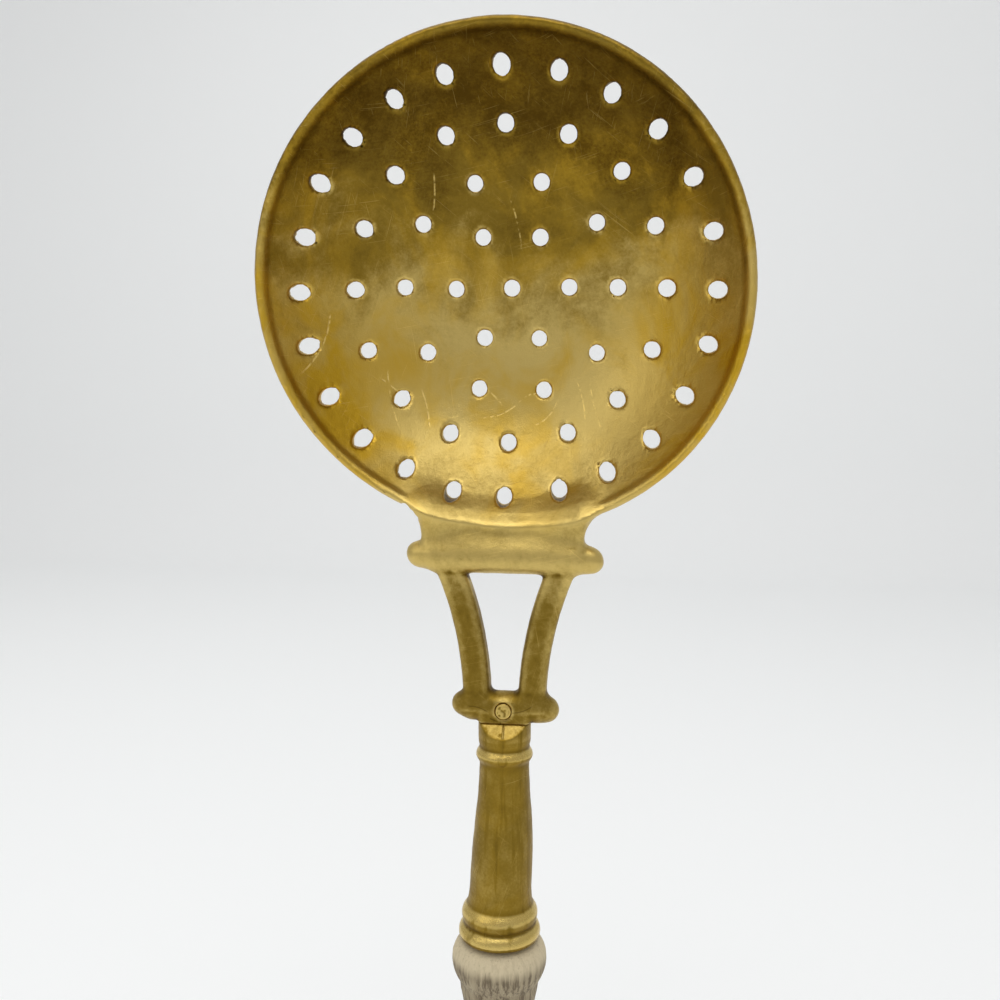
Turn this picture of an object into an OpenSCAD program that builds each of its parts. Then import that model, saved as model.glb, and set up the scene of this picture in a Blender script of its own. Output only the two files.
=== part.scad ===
// Long-handled kitchen skimmer: a pierced brass bowl on a lyre-shaped yoke,
// a brass ferrule, a turned wooden grip and a ring to hang it by.
// Millimetres. +Z runs up the handle to the bowl, whose hollow side faces -Y.
// The origin is on the handle's axis, in the middle of the straight part of the grip.

/* [Bowl] */
// Radius of the bowl, to the middle of its rim's section
bowl_r = 63.5; // [56:0.5:72]
// Depth of the bowl, from the rim's plane to the middle of its wall
bowl_depth = 28; // [20:1:32]
// Power of the bowl's curve: 2 is evenly round, more is flatter with steeper sides
bowl_power = 3; // [2.2:0.1:3.6]
// Thickness of the bowl's wall
bowl_wall = 2; // [1.4:0.1:2.6]
// Radius of the rounded rim's own section
rim_bead_r = 1.25; // [1:0.05:1.6]
// Forward lean of the bowl from the handle's line, in degrees
bowl_lean = 8.5; // [0:0.5:12]
// Diameter of a straining hole
hole_d = 4.4; // [3:0.1:5.4]

/* [Yoke] */
// Width of the neck between the bowl and the upper bar
neck_w = 44; // [38:1:48]
// Thickness of the neck, front to back
neck_t = 5; // [4:0.5:6.5]
// Height of the neck, from the upper bar's axis to the bottom of the rim
neck_h = 5.6; // [4:0.2:9]
// Radius of the hollow corner between the neck and the rim
neck_fillet_r = 3; // [2:0.5:4]
// Height between the axes of the two bars
yoke_h = 40.5; // [36:0.5:48]
// Radius of the upper bar
upper_bar_r = 4.1; // [3.9:0.1:4.6]
// Radius of the lower bar
lower_bar_r = 4.1; // [3.9:0.1:4.6]
// Radius of the fingers at the bars' ends
finger_r = 2.9; // [2.4:0.1:3.1]
// Radius of the round ends of the bars
lug_r = 3.3; // [3.2:0.1:3.8]
// Distance from the centre to the upper bar's round ends
upper_lug_x = 22.4; // [21:0.2:26]
// Distance from the centre to the lower bar's round ends
lower_lug_x = 11.2; // [10.6:0.2:14]
// Radius of the arms' round section
arm_r = 3.6; // [3:0.1:3.8]
// Distance from the centre to an arm's foot
arm_foot_x = 7.4; // [6.8:0.1:8.6]
// Radius of the outward bend of the arms
arm_bend_r = 97; // [90:1:120]

/* [Ferrule] */
// Length of the ferrule, from its mouth to the top of its head
ferrule_l = 61.2; // [58:0.2:70]
// Radius of the ferrule's body at the wide end
ferrule_body_r = 8.4; // [8:0.1:9]
// Radius of the ferrule's body below the collar
ferrule_waist_r = 6.8; // [6.4:0.1:7.4]
// Radius of the ferrule's head
head_r = 7.1; // [6.8:0.1:7.6]
// Outer radius of the collar below the head
collar_r = 7.7; // [7.5:0.1:8.4]
// Outer radius of the ring at the mouth
mouth_ring_r = 11.2; // [10.8:0.1:12]
// Outer radius of the ring above the mouth ring
second_ring_r = 10.2; // [9.6:0.1:10.7]
// Depth of the sloping flat on the front of the head
scarf_h = 4.8; // [3.5:0.1:5.5]
// Distance from the axis to the front edge of the head's top face
scarf_y = 3.4; // [3:0.1:3.8]
// Width of the tongue that enters the yoke
tongue_w = 9; // [7:0.5:10]
// Thickness of the tongue, front to back
tongue_t = 3.2; // [2.6:0.1:3.6]
// Height of the tongue above the head
tongue_h = 6.4; // [6.2:0.1:6.9]
// Height of the pin above the head's top face
pin_z = 3.6; // [3:0.1:3.8]
// Radius of the pin that holds the yoke to the ferrule
pin_r = 2.1; // [1.6:0.1:2.3]

/* [Grip] */
// Radius of the wooden tenon inside the ferrule
tenon_r = 6; // [5.5:0.1:6.2]
// Length of the wooden tenon inside the ferrule
tenon_l = 32; // [20:1:34]
// Radius of the bulb under the ferrule
bulb_r = 12.6; // [12.2:0.1:14]
// Radius of the grip's straight part
grip_r = 12; // [11.4:0.1:12]
// Length of the grip's straight part
grip_straight_l = 30; // [24:1:40]
// Length of the swelling from the step under the bulb to the straight part
swell_l = 34; // [28:1:44]
// Length of the taper from the straight part to the foot bead
taper_l = 34; // [28:1:44]
// Radius of the step under the bulb
step_r = 10.7; // [10:0.1:11]
// Radius of the narrowest part under the bulb
upper_waist_r = 8.4; // [7.6:0.1:9]
// Radius of the narrowest part above the foot bead
lower_waist_r = 8.6; // [7.6:0.1:9.4]
// Radius of the foot bead
foot_r = 10.6; // [10:0.1:11]

/* [End fittings] */
// Radius of the tie rod
rod_r = 2; // [1.5:0.1:2.4]
// Length of rod held in the ferrule's head, and in the eye nut
rod_grip_l = 7; // [5:0.5:8]
// Radius of the end cap
cap_r = 9.8; // [9:0.1:10]
// Height of the end cap
cap_h = 9; // [8:0.5:12]
// Depth of the cup that holds the grip's lower tenon
cap_cup_h = 5; // [4:0.5:6]
// Radius of the eye nut's round shank
shank_r = 4.2; // [3.8:0.1:5]
// Outer radius of the eye
eye_r = 5.4; // [5:0.1:6]
// Thickness of the eye, side to side
eye_t = 3.4; // [3:0.1:4.4]
// Radius of the hole in the eye
eye_hole_r = 2.2; // [2:0.1:2.4]
// Radius of the ring's wire
wire_r = 1.4; // [1.1:0.1:1.5]
// Radius of the ring, to the middle of its wire
ring_r = 12.5; // [11:0.5:16]

/* [Fits] */
// Clearance round the tongue, the pin, the tenons and the rod
fit = 0.05; // [0.02:0.01:0.08]
// Gap between the ring's wire and the eye that it hangs on
ring_gap = 0.25; // [0.15:0.05:0.3]

/* [Hidden] */
$fn = 64;
brass = [0.66, 0.53, 0.26];
pale_brass = [0.74, 0.61, 0.33];
wood = [0.70, 0.64, 0.54];
steel = [0.55, 0.55, 0.56];
eps = 0.01;
// How far a cutter runs past what it cuts
overrun = 2;

// Holes in each ring, and the ring's radius as a share of the bowl's radius
hole_rings = [[6, 0.247], [10, 0.462], [16, 0.665], [24, 0.859]];
// Steps in the bowl's curve, and in each eased stretch of a turned profile
bowl_steps = 16;
ease_steps = 10;

// Heights along the grip, measured down from the ferrule's mouth
bulb_l = 11;
step_drop = 0.4;
step_h = 1.2;
step_draft = 0.3;
step_z = -bulb_l - step_drop;
straight_top_z = step_z - swell_l;
straight_low_z = straight_top_z - grip_straight_l;
foot_bead_r = 3;
foot_z = straight_low_z - taper_l;
grip_low_z = foot_z - foot_bead_r;
waist_share = 0.35;
upper_waist_z = step_z - swell_l * waist_share;
lower_waist_z = foot_z + taper_l * waist_share;
cap_wall = 3;
tenon_end_gap = 0.2;
lower_tenon_r = cap_r - cap_wall;
lower_tenon_l = cap_cup_h - tenon_end_gap;
bore_r = rod_r + 0.3;

// Height of the mouth over the origin, which is the middle of the straight part
mouth_z = -(straight_top_z + straight_low_z) / 2;

// Heights along the ferrule, measured up from its mouth
mouth_ring_tube = 2.3;
second_ring_tube = 2;
second_ring_z = 2 * mouth_ring_tube + second_ring_tube * 1.6;
body_low_z = second_ring_z + second_ring_tube * 2.2;
collar_tube = 1.5;
head_l = 8.8;
collar_z = ferrule_l - head_l;
groove_h = 1.4;
groove_depth = 0.15;
body_high_z = collar_z - collar_tube - groove_h;
body_land = 6;
ring_tuck = 0.6;
head_groove_h = 0.6;
head_flare_l = 2.5;
head_edge = 0.3;
socket_room = 1;
socket_end_z = tenon_l + socket_room;
rod_top_z = socket_end_z + rod_grip_l;

// Heights of the yoke, measured up from the ferrule's mouth
bar_lift = 0.1;
lower_bar_z = ferrule_l + lower_bar_r + bar_lift;
pin_centre_z = ferrule_l + pin_z;
upper_bar_z = lower_bar_z + yoke_h;
arm_angle = asin(yoke_h / arm_bend_r);
finger_l = 2;
foot_inset = 0.5;
pin_proud = 0.2;
rim_centre_z = upper_bar_z + neck_h + bowl_r * cos(bowl_lean);
rim_centre_y = -bowl_r * sin(bowl_lean);

// Heights of the end fittings, measured from the ferrule's mouth
cap_low_z = grip_low_z - cap_h;
cap_round = 3;
cap_seat = 0.6;
rod_low_z = cap_low_z - rod_grip_l;
eye_drop = 2.4;
eye_z = rod_low_z - eye_hole_r - eye_drop;
wire_z = eye_z - (eye_hole_r - wire_r - ring_gap);

// The middle of the bowl's wall at radius r, its steepness, and a point off it along its outward normal
function depth_at(r) = bowl_depth * (1 - pow(r / bowl_r, bowl_power));
function steepness(r) = bowl_depth * bowl_power * pow(r / bowl_r, bowl_power - 1) / bowl_r;
function off_wall(r, d) =
    let (s = steepness(r), k = d / sqrt(1 + s * s))
    [r + k * s, -depth_at(r) - k];

// Points of an arc, from one angle to another
function arc(centre, r, from, to, steps) = [
    for (i = [0 : steps])
    let (a = from + (to - from) * i / steps)
    [centre[0] + r * cos(a), centre[1] + r * sin(a)]
];

// Points of a half-cosine from one [z, r] station to the next, as [r, z]
function eased(a, b) = [
    for (i = [1 : ease_steps])
    let (t = i / ease_steps, e = (1 - cos(180 * t)) / 2)
    [a[1] + (b[1] - a[1]) * e, a[0] + (b[0] - a[0]) * t]
];

module at_mouth() {
    translate([0, 0, mouth_z]) children();
}

module at_rim() {
    translate([0, rim_centre_y, rim_centre_z]) rotate([90 + bowl_lean, 0, 0]) children();
}

// Bowl and yoke, one casting

module bowl_shell() {
    radii = [for (i = [0 : bowl_steps - 1]) bowl_r * i / bowl_steps];
    half = bowl_wall / 2;
    outward = atan2(-1, steepness(bowl_r));
    wrap = 20;
    rotate_extrude()
    polygon(concat(
        [for (r = radii) off_wall(r, -half)],
        arc([bowl_r, 0], rim_bead_r, outward + 180 + wrap, outward - wrap, 8),
        [for (i = [bowl_steps - 1 : -1 : 0]) off_wall(radii[i], half)]
    ));
}

module bowl_hollow() {
    radii = [for (i = [0 : bowl_steps - 1]) bowl_r * i / bowl_steps];
    mouth_r = bowl_r - rim_bead_r / 2;
    rotate_extrude()
    polygon(concat(
        [for (r = radii) off_wall(r, -bowl_wall / 2)],
        [[mouth_r, 0], [mouth_r, neck_t], [0, neck_t]]
    ));
}

module straining_holes() {
    drill_l = bowl_depth + bowl_wall + overrun;
    translate([0, 0, -drill_l]) {
        cylinder(d = hole_d, h = drill_l);
        for (ring = hole_rings)
            for (i = [0 : ring[0] - 1])
                rotate([0, 0, 360 * i / ring[0]])
                translate([ring[1] * bowl_r, 0, 0])
                cylinder(d = hole_d, h = drill_l);
    }
}

module neck_outline() {
    half = neck_w / 2;
    outer = bowl_r + rim_bead_r;
    rim_up = rim_centre_z - upper_bar_z;
    corner_x = half + neck_fillet_r;
    corner_z = rim_up - sqrt(pow(outer + neck_fillet_r, 2) - corner_x * corner_x);
    top_z = rim_up - sqrt(pow(outer - rim_bead_r, 2) - corner_x * corner_x);
    translate([-half, 0]) square([neck_w, top_z]);
    for (side = [0, 1])
        mirror([side, 0])
        difference() {
            translate([half - eps, corner_z]) square([neck_fillet_r + eps, top_z - corner_z]);
            translate([corner_x, corner_z]) circle(r = neck_fillet_r);
        }
}

module neck() {
    translate([0, neck_t / 2, upper_bar_z])
    rotate([90, 0, 0])
    linear_extrude(neck_t) neck_outline();
}

module bar(z, r, lug_x) {
    bar_x = lug_x - finger_l;
    translate([-bar_x, 0, z]) rotate([0, 90, 0]) cylinder(r = r, h = 2 * bar_x);
    translate([-lug_x, 0, z]) rotate([0, 90, 0]) cylinder(r = finger_r, h = 2 * lug_x);
    for (side = [-1, 1])
        translate([side * lug_x, 0, z]) sphere(r = lug_r);
}

module arm() {
    translate([arm_foot_x + arm_bend_r, 0, lower_bar_z])
    rotate([90, 0, 0])
    rotate([0, 0, 180 - arm_angle])
    rotate_extrude(angle = arm_angle) translate([arm_bend_r, 0]) circle(r = arm_r);
}

module yoke_foot() {
    foot_w = 2 * (head_r - foot_inset);
    translate([-foot_w / 2, -scarf_y, ferrule_l]) cube([foot_w, 2 * scarf_y, lower_bar_r]);
}

module bowl_and_yoke() {
    color(pale_brass)
    at_mouth()
    difference() {
        union() {
            at_rim() bowl_shell();
            difference() {
                neck();
                at_rim() bowl_hollow();
            }
            bar(upper_bar_z, upper_bar_r, upper_lug_x);
            bar(lower_bar_z, lower_bar_r, lower_lug_x);
            arm();
            mirror([1, 0, 0]) arm();
            yoke_foot();
        }
        at_rim() straining_holes();
        tongue(fit);
        pin(pin_r + fit, lower_bar_r + overrun);
    }
}

// Pin through the yoke and the ferrule's tongue

module pin(r, half_l) {
    translate([0, half_l, pin_centre_z]) rotate([90, 0, 0]) cylinder(r = r, h = 2 * half_l);
}

module yoke_pin() {
    color(brass)
    at_mouth()
    pin(pin_r, lower_bar_r + pin_proud);
}

// Ferrule, a hollow casting with a tongue on its head

module tongue(gap) {
    w = tongue_w + 2 * gap;
    t = tongue_t + 2 * gap;
    translate([-w / 2, -t / 2, ferrule_l - eps]) cube([w, t, tongue_h + gap + eps]);
}

module ferrule_outline() {
    head_low_z = collar_z + collar_tube + head_groove_h;
    mouth_tuck = [mouth_ring_tube * 2, mouth_ring_r - mouth_ring_tube * ring_tuck];
    second_tuck = [second_ring_z, second_ring_r - second_ring_tube * ring_tuck];
    groove_r = ferrule_waist_r - groove_depth;
    polygon(concat(
        [[0, 0], [mouth_ring_r - mouth_ring_tube, 0]],
        [[mouth_tuck[1], mouth_tuck[0]], [second_tuck[1], second_tuck[0]]],
        eased(second_tuck, [body_low_z, ferrule_body_r]),
        eased([body_low_z + body_land, ferrule_body_r], [body_high_z - body_land, ferrule_waist_r]),
        [[groove_r, body_high_z], [groove_r, collar_z], [head_r - head_edge, collar_z]],
        [[head_r - head_edge, head_low_z], [head_r, head_low_z + head_flare_l]],
        [[head_r, ferrule_l - head_edge], [head_r - head_edge, ferrule_l], [0, ferrule_l]]
    ));
    translate([mouth_ring_r - mouth_ring_tube, mouth_ring_tube]) circle(r = mouth_ring_tube);
    translate([second_ring_r - second_ring_tube, second_ring_z]) circle(r = second_ring_tube);
    translate([collar_r - collar_tube, collar_z]) circle(r = collar_tube);
}

module head_scarf() {
    slope = atan2(scarf_h, head_r - scarf_y);
    translate([0, -scarf_y, ferrule_l])
    rotate([slope, 0, 0])
    translate([-head_r, -3 * head_r, 0])
    cube([2 * head_r, 3 * head_r, 3 * head_r]);
}

module ferrule() {
    color(brass)
    at_mouth()
    difference() {
        union() {
            difference() {
                rotate_extrude() ferrule_outline();
                head_scarf();
            }
            tongue(0);
        }
        translate([0, 0, -eps]) cylinder(r = tenon_r + fit, h = socket_end_z + eps);
        translate([0, 0, socket_end_z - eps]) cylinder(r = rod_r + fit, h = rod_grip_l + fit + eps);
        pin(pin_r + fit, tongue_t);
    }
}

// Turned wooden grip, drilled right through

module grip_outline() {
    bulb_centre = [bulb_r - bulb_l / 2, -bulb_l / 2];
    foot_centre = [foot_r - foot_bead_r, foot_z];
    upper_waist = [upper_waist_z, upper_waist_r];
    lower_waist = [lower_waist_z, lower_waist_r];
    polygon(concat(
        [[bore_r, tenon_l], [tenon_r, tenon_l], [tenon_r, 0]],
        arc(bulb_centre, bulb_l / 2, 90, -45, 10),
        [[step_r - step_draft, step_z + step_h], [step_r, step_z]],
        eased([step_z, step_r], upper_waist),
        eased(upper_waist, [straight_top_z, grip_r]),
        [[grip_r, straight_low_z]],
        eased([straight_low_z, grip_r], lower_waist),
        eased(lower_waist, [foot_z + foot_bead_r, foot_centre[0]]),
        arc(foot_centre, foot_bead_r, 80, -90, 8),
        [[lower_tenon_r, grip_low_z], [lower_tenon_r, grip_low_z - lower_tenon_l]],
        [[bore_r, grip_low_z - lower_tenon_l]]
    ));
}

module grip() {
    color(wood)
    at_mouth()
    rotate_extrude() grip_outline();
}

// Tie rod, from the ferrule's head to the eye nut

module tie_rod() {
    color(steel)
    at_mouth()
    translate([0, 0, rod_low_z]) cylinder(r = rod_r, h = rod_top_z - rod_low_z);
}

// End cap, cupped over the grip's lower tenon

module end_cap() {
    color(brass)
    at_mouth()
    rotate_extrude()
    polygon(concat(
        [[rod_r + fit, cap_low_z], [shank_r + cap_seat, cap_low_z]],
        arc([cap_r - cap_round, cap_low_z + cap_round], cap_round, -80, 0, 6),
        [[cap_r, grip_low_z], [lower_tenon_r + fit, grip_low_z]],
        [[lower_tenon_r + fit, grip_low_z - cap_cup_h], [rod_r + fit, grip_low_z - cap_cup_h]]
    ));
}

// Eye nut on the rod's lower end

module eye_nut() {
    color(brass)
    at_mouth()
    difference() {
        union() {
            translate([0, 0, rod_low_z]) cylinder(r = shank_r, h = rod_grip_l);
            translate([-eye_t / 2, 0, eye_z]) rotate([0, 90, 0]) cylinder(r = eye_r, h = eye_t);
        }
        translate([0, 0, rod_low_z]) cylinder(r = rod_r + fit, h = rod_grip_l + eps);
        translate([-eye_t, 0, eye_z]) rotate([0, 90, 0]) cylinder(r = eye_hole_r, h = 2 * eye_t);
    }
}

// Loose ring to hang the skimmer by

module hanging_ring() {
    color(pale_brass)
    at_mouth()
    translate([0, 0, wire_z - ring_r])
    rotate([90, 0, 0])
    rotate_extrude() translate([ring_r, 0]) circle(r = wire_r);
}

bowl_and_yoke();
yoke_pin();
ferrule();
grip();
tie_rod();
end_cap();
eye_nut();
hanging_ring();
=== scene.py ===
"""Kitchen skimmer: a pierced brass bowl on a lyre-shaped yoke, a brass ferrule, a bleached
wooden grip and a loose hanging ring, on a pale floor."""

import math

import bpy
import numpy as np
from mathutils import Matrix, Vector


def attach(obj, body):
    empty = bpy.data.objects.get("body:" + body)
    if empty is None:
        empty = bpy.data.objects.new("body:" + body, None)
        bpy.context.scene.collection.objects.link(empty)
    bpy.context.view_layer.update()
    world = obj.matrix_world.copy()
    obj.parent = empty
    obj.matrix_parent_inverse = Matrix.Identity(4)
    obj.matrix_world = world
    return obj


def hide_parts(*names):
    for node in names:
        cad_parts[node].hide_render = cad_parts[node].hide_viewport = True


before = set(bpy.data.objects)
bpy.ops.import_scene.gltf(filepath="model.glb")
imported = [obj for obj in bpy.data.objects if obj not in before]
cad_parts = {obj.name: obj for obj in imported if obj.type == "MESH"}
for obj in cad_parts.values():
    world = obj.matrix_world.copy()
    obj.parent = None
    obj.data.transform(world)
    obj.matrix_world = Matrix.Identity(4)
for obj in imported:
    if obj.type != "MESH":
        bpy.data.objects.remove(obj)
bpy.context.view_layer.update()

bl_info = {
    "name": "Kitchen Skimmer",
    "version": (1, 0, 0),
    "blender": (4, 5, 0),
    "location": "View3D > Sidebar > Skimmer",
    "description": "Builds a pierced brass kitchen skimmer with a turned wooden grip",
    "category": "Add Mesh",
}

MM = 0.001
# The ferrule's mouth is this far above the frame's origin, in millimetres. Shapes are worked out
# in millimetres from the mouth and moved to the frame when they become meshes.
MOUTH = 60.4


# Sizes and colours


def srgb(red, green, blue):
    """A colour given as 0 to 255 on screen, as the linear numbers that a shader takes."""
    return tuple(
        (c / 255 / 12.92) if c <= 10 else ((c / 255 + 0.055) / 1.055) ** 2.4 for c in (red, green, blue)
    )


def length(name, default, description):
    return bpy.props.FloatProperty(
        name=name, description=description, default=default, min=0.0, unit="LENGTH", precision=5
    )


def paint(name, default, description):
    return bpy.props.FloatVectorProperty(
        name=name, description=description, default=default, size=3, min=0.0, max=1.0, subtype="COLOR"
    )


class SkimmerSizes(bpy.types.PropertyGroup):
    bowl_radius: length("Bowl radius", 0.0635, "Radius to the middle of the rim")
    bowl_depth: length("Bowl depth", 0.028, "Depth from the rim's plane to the wall")
    bowl_lean: bpy.props.FloatProperty(
        name="Bowl lean", description="Forward lean of the bowl", default=math.radians(8.5), subtype="ANGLE"
    )
    wall: length("Bowl wall", 0.002, "Thickness of the bowl's wall")
    lip: length("Lip radius", 0.00125, "Radius of the rounded rim's section")
    hole: length("Hole diameter", 0.0044, "Diameter of a straining hole")
    neck_width: length("Neck width", 0.044, "Width of the neck under the bowl")
    upper_bar: length("Upper bar height", 0.1059, "Height of the upper bar over the ferrule's mouth")
    lower_bar: length("Lower bar height", 0.0654, "Height of the lower bar over the ferrule's mouth")
    bar: length("Bar radius", 0.0041, "Radius of both bars")
    arm_bend: length("Arm bend", 0.097, "Radius of the outward bend of the arms")
    pin: length("Pin radius", 0.0021, "Radius of the yoke's pin")
    pin_height: length("Pin height", 0.0648, "Height of the pin over the ferrule's mouth")
    ferrule: length("Ferrule length", 0.0612, "Length of the ferrule without its tongue")
    wire: length("Ring wire", 0.0014, "Radius of the hanging ring's wire")
    ring: length("Ring radius", 0.0125, "Radius of the hanging ring")


class SkimmerColours(bpy.types.PropertyGroup):
    polished: paint("Polished brass", srgb(206, 180, 106), "Brass where it is rubbed bright")
    gold: paint("Golden brass", srgb(200, 160, 44), "Brass where it keeps a warm lacquer-like tone")
    dull: paint("Dull brass", srgb(132, 107, 38), "Brass under an even tarnish")
    # The patina colour also gives the painted shade on the bowl's upper half and on its hole walls.
    patina_and_shade: paint("Patina", srgb(68, 45, 7), "Darkest tarnish, in hollows and corners")
    bleached: paint("Bleached wood", srgb(206, 191, 158), "Washed out wood")
    grain: paint("Wood grain", srgb(112, 98, 76), "Dark fibres in the wood")
    steel: paint("Steel", srgb(150, 150, 152), "Tie rod")
    floor: paint("Floor", srgb(249, 250, 250), "Floor and backdrop")


# Distances and noise, on arrays of points in millimetres


def union(a, b, soft):
    mix = np.clip(0.5 + 0.5 * (b - a) / soft, 0, 1)
    return b + (a - b) * mix - soft * mix * (1 - mix)


def common(a, b, soft):
    return -union(-a, -b, soft)


def cut(a, b, soft):
    return -union(-a, b, soft)


def ramp(value, low, high):
    t = np.clip((value - low) / (high - low), 0, 1)
    return t * t * (3 - 2 * t)


def lumps(points, size, seed):
    """Smooth noise from -1 to 1, in lumps about size across."""
    cells = 24
    lattice = np.random.default_rng(seed).uniform(-1, 1, cells**3)
    scaled = points / size
    floor = np.floor(scaled)
    part = scaled - floor
    part = part * part * (3 - 2 * part)
    cell = floor.astype(np.int32) % cells
    steps = np.array([cells * cells, cells, 1], np.int32)
    near, far = cell * steps, (cell + 1) % cells * steps
    index = [(near[:, k], far[:, k]) for k in range(3)]
    weight = [(1 - part[:, k], part[:, k]) for k in range(3)]
    total = 0
    for a, b, c in np.ndindex(2, 2, 2):
        value = lattice.take(index[0][a] + index[1][b] + index[2][c])
        total = total + value * weight[0][a] * weight[1][b] * weight[2][c]
    return total


def capsule(points, start, end, start_radius, end_radius):
    a, b = np.array(start, float), np.array(end, float)
    along = b - a
    t = np.clip((points - a) @ along / (along @ along), 0, 1)
    nearest = a + t[:, None] * along
    return np.linalg.norm(points - nearest, axis=1) - start_radius - (end_radius - start_radius) * t


def block(points, centre, half, rounding):
    out = np.abs(points - np.array(centre, float)) - np.array(half, float) + rounding
    outside = np.linalg.norm(np.maximum(out, 0), axis=1)
    return outside + np.minimum(out.max(1), 0) - rounding


# Meshes


def place(name, points, faces, material, body, replaced=(), attributes=None):
    """Makes a smooth mesh of points in millimetres over the mouth, and fits it to the frame."""
    mesh = bpy.data.meshes.new(name)
    moved = (points + np.array([0, 0, MOUTH])) * MM
    mesh.vertices.add(len(moved))
    mesh.vertices.foreach_set("co", moved.astype(np.float32).ravel())
    faces = np.asarray(faces, np.int32)
    count, sides = faces.shape
    mesh.loops.add(count * sides)
    mesh.loops.foreach_set("vertex_index", faces.ravel())
    mesh.polygons.add(count)
    mesh.polygons.foreach_set("loop_start", np.arange(0, count * sides, sides, dtype=np.int32))
    mesh.polygons.foreach_set("use_smooth", np.ones(count, bool))
    mesh.update(calc_edges=True)
    mesh.validate()
    for key, values in (attributes or {}).items():
        layer = mesh.attributes.new(key, "FLOAT", "POINT")
        layer.data.foreach_set("value", values.astype(np.float32))
    piece = bpy.data.objects.new(name, mesh)
    bpy.context.scene.collection.objects.link(piece)
    mesh.materials.append(material)
    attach(piece, body)
    if replaced:
        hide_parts(*replaced)
    return piece


def axis_steps(*stretches):
    """Grid lines from stretches of (from, to, step), each starting where the last one ended."""
    lines = [np.array([stretches[0][0]])]
    for low, high, step in stretches:
        count = max(2, round((high - low) / step))
        lines.append(np.linspace(low, high, count + 1)[1:])
    return np.concatenate(lines)


def gradient(distance, points, reach=0.05):
    total = 0
    for corner in ((1, 1, 1), (1, -1, -1), (-1, 1, -1), (-1, -1, 1)):
        step = np.array(corner, float)
        total = total + distance(points + step * reach)[:, None] * step
    return total / (4 * reach)


def settle(distance, points, turns=2, most=0.4):
    """Moves points onto the surface where the distance is nought."""
    for _ in range(turns):
        slope = gradient(distance, points)
        size = np.maximum((slope * slope).sum(1), 0.05)
        step = np.clip(distance(points) / size, -most, most)
        points = points - slope * step[:, None]
    return points


def crossing_points(values, corners):
    """The middle of the places where each cell's edges cross the surface, from 0 to 1."""
    total, found = np.zeros((len(values), 3)), np.zeros(len(values))
    for one in range(8):
        for axis in range(3):
            two = one | (4 >> axis)
            if two == one:
                continue
            a, b = values[:, one], values[:, two]
            crossed = (a < 0) != (b < 0)
            part = np.where(crossed, a / np.where(crossed, a - b, 1), 0)
            place_at = corners[one] + part[:, None] * (corners[two] - corners[one])
            total += place_at * crossed[:, None]
            found += crossed
    return total / found[:, None]


def near_surface(distance, lines, stride):
    """Values on the grid: exact near the surface, and only of the right sign elsewhere."""
    shape = tuple(len(line) for line in lines)
    middles, halves = [], []
    for line in lines:
        starts = np.arange(0, len(line), stride)
        ends = np.minimum(starts + stride, len(line) - 1)
        middles.append((line[starts] + line[ends]) / 2)
        halves.append((line[ends] - line[starts]) / 2)
    coarse = np.stack(np.meshgrid(*middles, indexing="ij"), -1)
    reach = np.sqrt(sum(np.square(h) for h in np.meshgrid(*halves, indexing="ij")))
    rough = distance(coarse.reshape(-1, 3)).reshape(reach.shape)
    active = np.abs(rough) < reach * 1.15 + 0.6
    spread = [np.minimum(np.arange(n) // stride, m - 1) for n, m in zip(shape, rough.shape)]
    grown = np.ix_(*spread)
    values = np.where(rough[grown] < 0, -9.0, 9.0)
    index = np.argwhere(active[grown])
    for part in np.array_split(index, max(1, len(index) // 400000)):
        points = np.stack([lines[k][part[:, k]] for k in range(3)], 1)
        values[part[:, 0], part[:, 1], part[:, 2]] = distance(points)
    return values


def skinned(distance, lines, stride=4):
    """Points and four-sided faces of the surface where the distance is nought."""
    values = near_surface(distance, lines, stride)
    inside = values < 0
    corners = np.array([[i >> 2 & 1, i >> 1 & 1, i & 1] for i in range(8)])
    ends = [n - 1 for n in values.shape]
    views = [tuple(slice(c[k], c[k] + ends[k]) for k in range(3)) for c in corners]
    counted = sum(inside[v].astype(np.int8) for v in views)
    mixed = (counted > 0) & (counted < 8)
    cells = np.argwhere(mixed)
    number = np.full(mixed.shape, -1, np.int64)
    number[mixed] = np.arange(len(cells))
    at_corners = np.stack([values[v][mixed] for v in views], 1)
    part = crossing_points(at_corners, corners)
    points = np.zeros((len(cells), 3))
    for k in range(3):
        low, high = lines[k][cells[:, k]], lines[k][cells[:, k] + 1]
        points[:, k] = low + (high - low) * part[:, k]
    faces = []
    for k in range(3):
        one, two = (k + 1) % 3, (k + 2) % 3
        first = [slice(1, -1)] * 3
        second = [slice(1, -1)] * 3
        first[k], second[k] = slice(0, -1), slice(1, None)
        start, end = inside[tuple(first)], inside[tuple(second)]
        shift = np.ones(3, int)
        shift[k] = 0
        for wanted, order in ((start & ~end, 1), (~start & end, -1)):
            edge = np.argwhere(wanted) + shift
            ring = []
            for a, b in ((0, 0), (-1, 0), (-1, -1), (0, -1)):
                cell = edge.copy()
                cell[:, one] += a
                cell[:, two] += b
                ring.append(number[cell[:, 0], cell[:, 1], cell[:, 2]])
            faces.append(np.stack(ring[::order], 1))
    return settle(distance, points), np.concatenate(faces)


def bends(distance, points, reach=0.8):
    """How hollow and how edged the surface is at each point, each from 0 to 1."""
    total = -6 * distance(points)
    for axis in range(3):
        step = np.zeros(3)
        step[axis] = reach
        total += distance(points + step) + distance(points - step)
    curve = total / reach**2
    return np.clip(-curve * 1.6, 0, 1), np.clip(curve * 1.1, 0, 1)


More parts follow.
